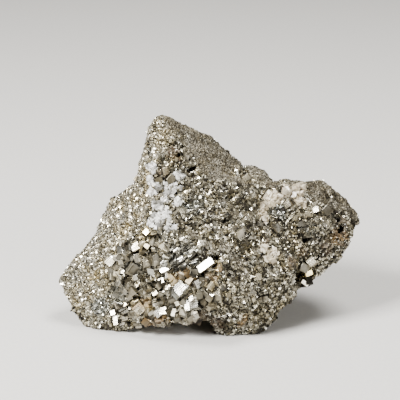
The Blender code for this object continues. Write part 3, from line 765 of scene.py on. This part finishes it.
def spread_out(chosen, spacing):
    """The numbers of the chosen points that are kept, one in each grid cell of this size."""
    chosen = np.flatnonzero(chosen)
    return chosen[thinned(places[chosen], spacing)]


hollow_share = near(places, HOLLOWS)
even_share = evenness(places, ways)
kept = spread_out(near(places, POCKET) > HOLLOW_RIM, SMALL_SPACING)
small_cubes = crystal_piece("small_cubes", places[kept], ways[kept],
                            random_edges(len(kept), *SMALL_EDGES), SMALL_HABITS, SMALL_STAND)

# %% Lean the blades above it
BLADE_PLACES = [(-10.8, 22.8, 3.6), (-7.0, 24.2, 3.0)]
BLADE_RIM, BLADE_SPACING = 0.1, 0.8
BLADE_SHAPE = (1.9, 1.1, 0.35)
BLADE_HABITS = ((1.0, CUBE, 0.0, 0.06),)
BLADE_SIZES = (0.8, 1.4)
BLADE_TURN, BLADE_STRAY = (38, 10, -10), (9, 14, 14)  # spin, tip and turn in degrees
BLADE_TINT = 0.2  # silvery

kept = spread_out(near(places, BLADE_PLACES) > BLADE_RIM, BLADE_SPACING)
blade_turns = np.array([face_turn(*random.normal(BLADE_TURN, BLADE_STRAY)) for _ in kept])
blade_sizes = random.uniform(*BLADE_SIZES, len(kept)) * MM
blades = crystal_piece("bladed_crystals", places[kept], ways[kept], blade_sizes, BLADE_HABITS,
                       SMALL_STAND, blade_turns, np.tile(BLADE_SHAPE, (len(kept), 1)),
                       {"tint": np.full(len(kept), BLADE_TINT)})

# %% Scatter a few cubes on the open face
GATHER_WIDTH, GATHER_EDGE = 9.0, (-0.25, 0.35)
MOST_EVEN, SCATTER_SHARE = 0.5, 0.3
SCATTER_SPACING, SCATTER_STAND = 2.6, -0.25
SCATTER_EDGES = (0.8, 1.1, 3)
SCATTER_HABITS = ((1.0, CUBE, 0.3, 0.06),)

gathering = step(*GATHER_EDGE, noise_at(places, GATHER_WIDTH, 11.0))
open_face = (hollow_share < HOLLOW_RIM) & (even_share < MOST_EVEN)
open_face &= random.random(len(places)) < SCATTER_SHARE * gathering
kept = spread_out(open_face, SCATTER_SPACING)
scattered = crystal_piece("scattered_cubes", places[kept], ways[kept],
                          random_edges(len(kept), *SCATTER_EDGES), SCATTER_HABITS, SCATTER_STAND)

# %% [markdown]
# ## The grains
#
# Everything else is covered with grains: cubes, octahedra and chipped lumps, sunk a little into the skin.
# They are small on the two fine fracture faces, which look like sandpaper, and larger on the broad face. A
# few are left out in the pits and grooves, where a real lump lost some. They are cut into pieces from front
# to back, which keeps each under 195,000 triangles.

# %% Grow the grains
HABITS = ((0.40, CUBE, 0.15, 0.0), (0.25, OCTAHEDRON, 0.2, 0.0), (0.35, CUBE, 0.25, 0.16))
SIZE_CLASSES = {  # coarseness from and to, spacing, least and most edge in millimetres
    "dust_grains": (-1.0, -0.1, 0.36, (0.32, 0.52)),
    "fine_grains": (-0.1, 0.25, 0.42, (0.38, 0.70)),
    "middle_grains": (0.25, 1.1, 0.48, (0.36, 0.90)),
}
COARSE_OPEN, COARSE_HOLLOW = 0.6, 0.4  # what an uneven face and a hollow add to the coarseness
COARSE_CLEFT, CLEFT_SHARE = -0.5, 0.6  # the cleft's coarseness, and the share that counts as in it
BARE_PIT, BARE_GROOVE = 0.4, 0.8  # how deep a pit or groove is before grains are left out
BARE_SHARE = 0.35  # how many are left out of a groove
GRAIN_STAND = -0.10
TRIANGLES_EACH = 11.2  # a little over the average, as cubes have 12 and octahedra have 8
MOST_TRIANGLES = 195_000
QUARTZ_SHARE = 0.75

coarse = np.clip(COARSE_OPEN * (1 - even_share) + COARSE_HOLLOW * hollow_share, 0, 1)
coarse[share_of(ways, FINE_CLEFT) > CLEFT_SHARE] = COARSE_CLEFT
white = patch(places, WHITE_QUARTZ, ragged=0.9, width=1.3, shift=1.0)
cream = patch(places, CREAM_QUARTZ, ragged=0.7, width=1.3, shift=2.0)
is_quartz = random.random(len(places)) < QUARTZ_SHARE * np.maximum(white, cream)
groove = relief(places, ways)[1]
left_out = random.random(len(places)) < BARE_SHARE * (groove > BARE_GROOVE)
left_out |= pit_share(places) > BARE_PIT
grain_pieces = []
for name, (low, high, spacing, (least, most)) in SIZE_CLASSES.items():
    kept = spread_out((coarse >= low) & (coarse < high) & ~is_quartz, spacing)
    kept = kept[~left_out[kept]]
    sizes = random_edges(len(kept), least, most - least, 2)
    parts = math.ceil(len(kept) * TRIANGLES_EACH / MOST_TRIANGLES)
    for part, mine in enumerate(np.array_split(np.argsort(places[kept, 1]), parts)):
        grain_pieces.append(crystal_piece(f"{name}_{part + 1}", places[kept][mine], ways[kept][mine],
                                          sizes[mine], HABITS, GRAIN_STAND))

# %% [markdown]
# ## Quartz
#
# The quartz has no faces of its own: it filled what room was left, so it is broken lumps with pyrite
# grains between them. The same array of corners as a cube, chipped hard, makes such a lump.

# %% Lumps of quartz
QUARTZ_RIM, QUARTZ_SPACING, QUARTZ_STAND = 0.2, 0.66, 0.1
QUARTZ_EDGES = (0.5, 1.0, 2)
QUARTZ_HABITS = ((1.0, CUBE, 0.35, 0.22),)
quartz_pieces = {}
for name, shares in (("white_quartz", white), ("cream_quartz", cream)):
    kept = spread_out(is_quartz & (shares > QUARTZ_RIM), QUARTZ_SPACING)
    kept = kept[random.random(len(kept)) < shares[kept]]
    sizes = random_edges(len(kept), *QUARTZ_EDGES)
    quartz_pieces[name] = crystal_piece(name, places[kept], ways[kept], sizes, QUARTZ_HABITS, QUARTZ_STAND)

# %% [markdown]
# ## Helpers for finishes
#
# A finish is a tree of nodes, and one helper adds a node with its settings and links. Colours are
# written as on a screen and turned to linear light, which is what the renderer adds up.

# %% Colours and nodes
def linear(code):
    """A hex colour as linear red, green and blue with alpha."""
    channels = [int(code[i:i + 2], 16) / 255 for i in (1, 3, 5)]
    return (*(c / 12.92 if c <= 0.04045 else ((c + 0.055) / 1.055) ** 2.4 for c in channels), 1.0)


def feed(tree, made, links):
    """Fills a node's inputs, each from a value or from another node's output."""
    for key, value in links.items():
        if isinstance(value, bpy.types.NodeSocket):
            tree.links.new(value, made.inputs[key])
        else:
            made.inputs[key].default_value = value


def node(tree, kind, settings, links, output=0):
    """Adds a node, feeds it and returns one of its outputs. Settings are its properties, with "stops"
    for a ramp's colours or values."""
    made = tree.nodes.new("ShaderNode" + kind)
    for key, value in settings.items():
        if key != "stops":
            setattr(made, key, value)
    stops = settings.get("stops", ())
    while len(stops) > len(made.color_ramp.elements if stops else ()):
        made.color_ramp.elements.new(0.5)
    for number, (place, stop) in enumerate(stops):
        element = made.color_ramp.elements[number]
        element.position = place
        element.color = linear(stop) if isinstance(stop, str) else (stop, stop, stop, 1)
    feed(tree, made, links)
    return made.outputs[output]


def material(name):
    """A new material, its tree and its shader."""
    made = bpy.data.materials.new(name)
    made.use_nodes = True
    return made, made.node_tree, made.node_tree.nodes["Principled BSDF"]


MARKS = ("tone", "tint", "orange", "brown", "groove", "light", "dull", "height", "stripe")


def lookups(tree):
    """The crystals' marks by name, and the place in the lump's own frame."""
    mark = {key: node(tree, "Attribute", {"attribute_name": key}, {}, "Fac") for key in MARKS}
    return mark, node(tree, "TexCoord", {}, {}, "Object")


def painted_gap_shade(tree, mark, most):
    """How much painted shade darkens the gaps between crystals: this much at their foot, nothing near their
    tops.
    """
    return node(tree, "MapRange", {}, {"Value": mark["height"], "From Min": -0.05, "From Max": 0.45,
                                       "To Min": most, "To Max": 0.0})


# The input numbers of a colour mix's factor and its two colours, and the number of its output
FACTOR, FIRST, SECOND, MIXED = 0, 6, 7, 2
COLOURS = {"data_type": "RGBA"}
MULTIPLY = {"data_type": "RGBA", "blend_type": "MULTIPLY"}
print("half grey in linear light:", round(linear("#808080")[0], 3))

# %% [markdown]
# ## Pyrite
#
# Bare pyrite is a metal: its colour is the colour of what it mirrors, tinted pale brass. Each grain
# has its own tone and polish, so neighbours catch the light differently and the mass sparkles. A thin
# tarnish film dulls it in clouds. Rust sits low between the grains, is no metal and hardly mirrors.
# The feet of the crystals, the grooves and the pits are darkened as painted shade. Fine parallel growth
# lines cross each cube face, at right angles to those on the next face. Real ones are about 0.1 mm apart,
# which is finer than a picture point, so they are drawn at 0.3 mm.

# %% The colour of clean pyrite
# lighter tones on the fine-grained flank, which faces the main light, are painted light; darker tones on
# the cleft, which faces away, are painted shade
EVEN_LIT_TONES = [(0.0, "#7f7a6b"), (0.5, "#cbc5b3"), (1.0, "#fff9e9")]
DULL_SHADED_TONES = [(0.0, "#544f43"), (1.0, "#a59e8e")]
TINTS = (("#f3e6ba", 1.0), ("#d3dae4", 0.0))  # brassy and silvery, and the mark that gives each in full
TARNISH_WIDTH = 1.8  # millimetres, as the clouds of a thin oxide film are
TARNISH = [(0.35, "#cbc6ba"), (0.6, "#ffffff")]


def clean_colour(tree, mark, where, tones):
    """The tone of each crystal, with painted light on the fine-grained flank that faces the main light and
    painted shade on the cleft that faces away, and its tint and tarnish.
    """
    colour = node(tree, "ValToRGB", {"stops": tones}, {"Fac": mark["tone"]})
    for share, stops in (("light", EVEN_LIT_TONES), ("dull", DULL_SHADED_TONES)):
        other = node(tree, "ValToRGB", {"stops": stops}, {"Fac": mark["tone"]})
        colour = node(tree, "Mix", COLOURS, {FACTOR: mark[share], FIRST: colour, SECOND: other}, MIXED)

    for code, full in TINTS:
        share = node(tree, "MapRange", {}, {"Value": mark["tint"], "From Min": 0.5, "From Max": full})
        colour = node(tree, "Mix", MULTIPLY, {FACTOR: share, FIRST: colour, SECOND: linear(code)}, MIXED)
    clouds = node(tree, "TexNoise", {}, {"Vector": where, "Scale": 1 / (TARNISH_WIDTH * MM), "Detail": 3.0})
    film = node(tree, "ValToRGB", {"stops": TARNISH}, {"Fac": clouds})
    return node(tree, "Mix", MULTIPLY, {FACTOR: 1.0, FIRST: colour, SECOND: film}, MIXED)


# %% Rust and painted shade in crevices
RUSTS = (("orange", "#8a6200"), ("brown", "#553a18"))
# the colour of the painted shade at the crystals' feet, in grooves and in pits
PAINTED_SHADE = "#1a1610"


def rusted_and_shaded(tree, mark, colour):
    """The colour with rust on it and painted shade low between the crystals and in grooves, and how much of
    what shows is metal.
    """
    low_down = node(tree, "MapRange", {}, {"Value": mark["height"], "From Min": 0.10, "From Max": 0.55,
                                           "To Min": 1.0, "To Max": 0.5})
    stained = 0.0
    for key, code in RUSTS:
        share = node(tree, "Math", {"operation": "MULTIPLY"}, {0: mark[key], 1: low_down})
        colour = node(tree, "Mix", COLOURS, {FACTOR: share, FIRST: colour, SECOND: linear(code)}, MIXED)
        stained = node(tree, "Math", {"operation": "MAXIMUM"}, {0: stained, 1: share})
    metal = node(tree, "MapRange", {}, {"Value": stained, "To Min": 1.0, "To Max": 0.0})
    # painted shade: each crystal darkens towards its foot, where it meets its neighbours
    gap = painted_gap_shade(tree, mark, 0.92)
    # painted shade in grooves, in pits and in the darker patches
    furrow = node(tree, "MapRange", {}, {"Value": mark["groove"], "From Min": 0.3, "To Max": 0.55})
    shade = node(tree, "Math", {"operation": "MAXIMUM"}, {0: gap, 1: furrow})
    return node(tree, "Mix", COLOURS, {FACTOR: shade, FIRST: colour, SECOND: linear(PAINTED_SHADE)}, MIXED), metal


# %% The pyrite finishes
DULL_POLISH = (0.5, 0.5, 0.5, 1)
LINE_SPACING = 0.3
PITTING_WIDTH = 0.35  # real etch pits are finer, and are drawn about a picture point wide
PITTING_ROUGH, PITTING_HEIGHT = 0.16, 0.6


def pyrite(name, tones, roughs, relief_height):
    """Tones and roughnesses run over the crystals' own tones, and the relief's height is in millimetres."""
    made, tree, shader = material(name)
    mark, where = lookups(tree)
    colour, metal = rusted_and_shaded(tree, mark, clean_colour(tree, mark, where, tones))
    pitting = node(tree, "TexNoise", {},
                   {"Vector": where, "Scale": 1 / (PITTING_WIDTH * MM), "Detail": 2.0})
    polish = node(tree, "ValToRGB", {"stops": roughs}, {"Fac": mark["tone"]})
    polish = node(tree, "Mix", COLOURS, {FACTOR: mark["dull"], FIRST: polish, SECOND: DULL_POLISH}, MIXED)
    rough = node(tree, "Math", {"operation": "MULTIPLY_ADD"}, {0: pitting, 1: PITTING_ROUGH, 2: polish})
    lines = node(tree, "TexNoise", {"noise_dimensions": "1D"},
                 {"W": mark["stripe"], "Scale": 1 / LINE_SPACING, "Detail": 2.0})
    height = node(tree, "Math", {"operation": "MULTIPLY_ADD"}, {0: pitting, 1: PITTING_HEIGHT, 2: lines})
    bump = node(tree, "Bump", {}, {"Distance": relief_height * MM, "Height": height})
    feed(tree, shader, {"Base Color": colour, "Metallic": metal, "Roughness": rough, "Normal": bump})
    return made


# The grains run from dark tarnished ones to bright ones that flash
GRAIN_TONES = [(0.0, "#37332b"), (0.25, "#878271"), (0.65, "#c6c1ae"), (1.0, "#fdf8e9")]
GRAIN_ROUGHS = [(0.0, 0.38), (0.5, 0.23), (1.0, 0.08)]
# Cube faces are cleaner, so they are lighter, and smooth enough to mirror a lamp as a soft patch
CUBE_TONES = [(0.0, "#565146"), (0.5, "#a09a8a"), (1.0, "#f6f1e1")]
CUBE_ROUGHS = [(0.0, 0.34), (0.5, 0.24), (1.0, 0.14)]
grain_finish = pyrite("pyrite_granular_sparkling", GRAIN_TONES, GRAIN_ROUGHS, 0.02)
cube_finish = pyrite("pyrite_crystal_face_striated", CUBE_TONES, CUBE_ROUGHS, 0.035)
for piece in grain_pieces:
    piece.data.materials.append(grain_finish)
for piece in (*large_pieces.values(), small_cubes, blades, scattered):
    piece.data.materials.append(cube_finish)
print("pyrite nodes:", len(grain_finish.node_tree.nodes))

# %% [markdown]
# ## Milky quartz
#
# Milky quartz is white because of tiny bubbles, so it is not see-through, and its broken faces shine like
# glass (refractive index 1.544). The lumps darken towards their feet as painted shade, grey under the white
# quartz and brown under the cream.

# %% The quartz finishes
QUARTZ_IOR = 1.544
MILK_WIDTH = 0.9  # millimetres across a cloud of bubbles
VEIL = [(0.35, "#cfcecb"), (0.6, "#ffffff")]
CHIP_HEIGHT = 0.05


def quartz(name, tones, crevice_shade):
    """Tones run over the lumps' own tones, and the last colour is that of the painted shade at the lumps'
    feet.
    """
    made, tree, shader = material(name)
    mark, where = lookups(tree)
    milk = node(tree, "TexNoise", {}, {"Vector": where, "Scale": 1 / (MILK_WIDTH * MM), "Detail": 4.0})
    veil = node(tree, "ValToRGB", {"stops": VEIL}, {"Fac": milk})
    colour = node(tree, "ValToRGB", {"stops": tones}, {"Fac": mark["tone"]})
    colour = node(tree, "Mix", MULTIPLY, {FACTOR: 1.0, FIRST: colour, SECOND: veil}, MIXED)
    # painted shade: each lump darkens towards its foot
    gap = painted_gap_shade(tree, mark, 0.95)
    colour = node(tree, "Mix", COLOURS, {FACTOR: gap, FIRST: colour, SECOND: linear(crevice_shade)}, MIXED)
    rough = node(tree, "MapRange", {}, {"Value": milk, "To Min": 0.12, "To Max": 0.4})
    bump = node(tree, "Bump", {}, {"Distance": CHIP_HEIGHT * MM, "Height": milk})
    feed(tree, shader, {"IOR": QUARTZ_IOR, "Base Color": colour, "Roughness": rough, "Normal": bump})
    return made


WHITE_TONES = [(0.0, "#66635b"), (0.25, "#aeaca6"), (0.5, "#ebe9e4"), (1.0, "#fffdf8")]
CREAM_TONES = [(0.0, "#7d7058"), (0.4, "#b3a68c"), (1.0, "#e8ddc8")]
QUARTZ_FINISHES = {
    "white_quartz": quartz("quartz_milky_broken", WHITE_TONES, "#3a362f"),
    "cream_quartz": quartz("quartz_cream_broken", CREAM_TONES, "#4c3a28"),
}
for name, finish in QUARTZ_FINISHES.items():
    quartz_pieces[name].data.materials.append(finish)
    print(name, "has the finish", finish.name)

# %% [markdown]
# ## What shows between the grains, and the paper
#
# Between the grains lies dark, dull dust of pyrite and iron oxide. Its near-black colour is partly that
# dust and partly painted shade in the gaps, which makes each grain stand out. The floor is matt paper with
# a faint mottle of fibre, drawn about a millimetre wide because single fibres are too fine to show.

# %% The plainer finishes
def speckled(name, width, codes, roughness, relief_height):
    """A dull finish whose colour drifts between two in specks this wide, with a slight relief."""
    made, tree, shader = material(name)
    where = node(tree, "TexCoord", {}, {}, "Object")
    specks = node(tree, "TexNoise", {}, {"Vector": where, "Scale": 1 / (width * MM), "Detail": 4.0})
    stops = [(0.35, codes[0]), (0.65, codes[1])]
    colour = node(tree, "ValToRGB", {"stops": stops}, {"Fac": specks})
    bump = node(tree, "Bump", {}, {"Distance": relief_height * MM, "Height": specks})
    feed(tree, shader, {"Roughness": roughness, "Base Color": colour, "Normal": bump})
    return made


skin.data.materials.clear()
# near-black: dust of pyrite and oxide, and painted shade in the gaps between the grains
skin.data.materials.append(speckled("pyrite_dust_and_painted_shade", 0.8, ("#17130e", "#352c20"), 0.85, 0.2))
floor.data.materials.append(speckled("studio_paper_matt", 1.2, ("#c6c3bd", "#cac7c1"), 0.9, 0.03))
print("the floor is", floor.data.materials[0].name)

# %% [markdown]
# ## Light
#
# A metal shows its lamps, so the lamps decide how pyrite looks. One soft box high on the left is the
# main light: it makes the faces that mirror it flash white. A weaker one above and behind draws the
# top edges, and a faint one on the right keeps the shaded side from going black.

# %% Light the lump
world = bpy.data.worlds.new("studio")
world.use_nodes = True
dim_light = world.node_tree.nodes["Background"]
dim_light.inputs["Color"].default_value = (1, 1, 1, 1)
dim_light.inputs["Strength"].default_value = 0.05
bpy.context.scene.world = world


def softbox(name, place, watts, side, aim=(0, 0, 30)):
    """A square lamp. Its place and side are in metres, and it aims at a place in millimetres."""
    lamp = linked(name, bpy.data.lights.new(name, "AREA"))
    lamp.data.energy = watts
    lamp.data.size = side
    aimed(lamp, Vector(place), Vector(aim) * MM - Vector(place))


softbox("key", (-0.40, -0.25, 0.45), 13.5, 0.20)
softbox("top", (0.15, 0.05, 0.60), 6.0, 0.25)
softbox("fill", (0.5, -0.4, 0.25), 3.0, 0.30)
print("lamps:", [lamp.name for lamp in bpy.data.lights])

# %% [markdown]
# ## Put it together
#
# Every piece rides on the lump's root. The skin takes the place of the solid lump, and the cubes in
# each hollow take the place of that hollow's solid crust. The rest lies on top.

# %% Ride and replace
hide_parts("massive_pyrite")
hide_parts("pocket_crystals")
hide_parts("edge_crystals")
slots = {
    "massive_pyrite": [skin, *grain_pieces],
    "pyrite_crystal": [*large_pieces.values(), small_cubes, blades, scattered],
    "quartz": list(quartz_pieces.values()),
}
for slot, pieces in slots.items():
    for piece in pieces:
        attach(piece, "root")

meshes = [piece.data for pieces in slots.values() for piece in pieces]
print("triangles:", sum(len(mesh.loops) - 2 * len(mesh.polygons) for mesh in meshes))
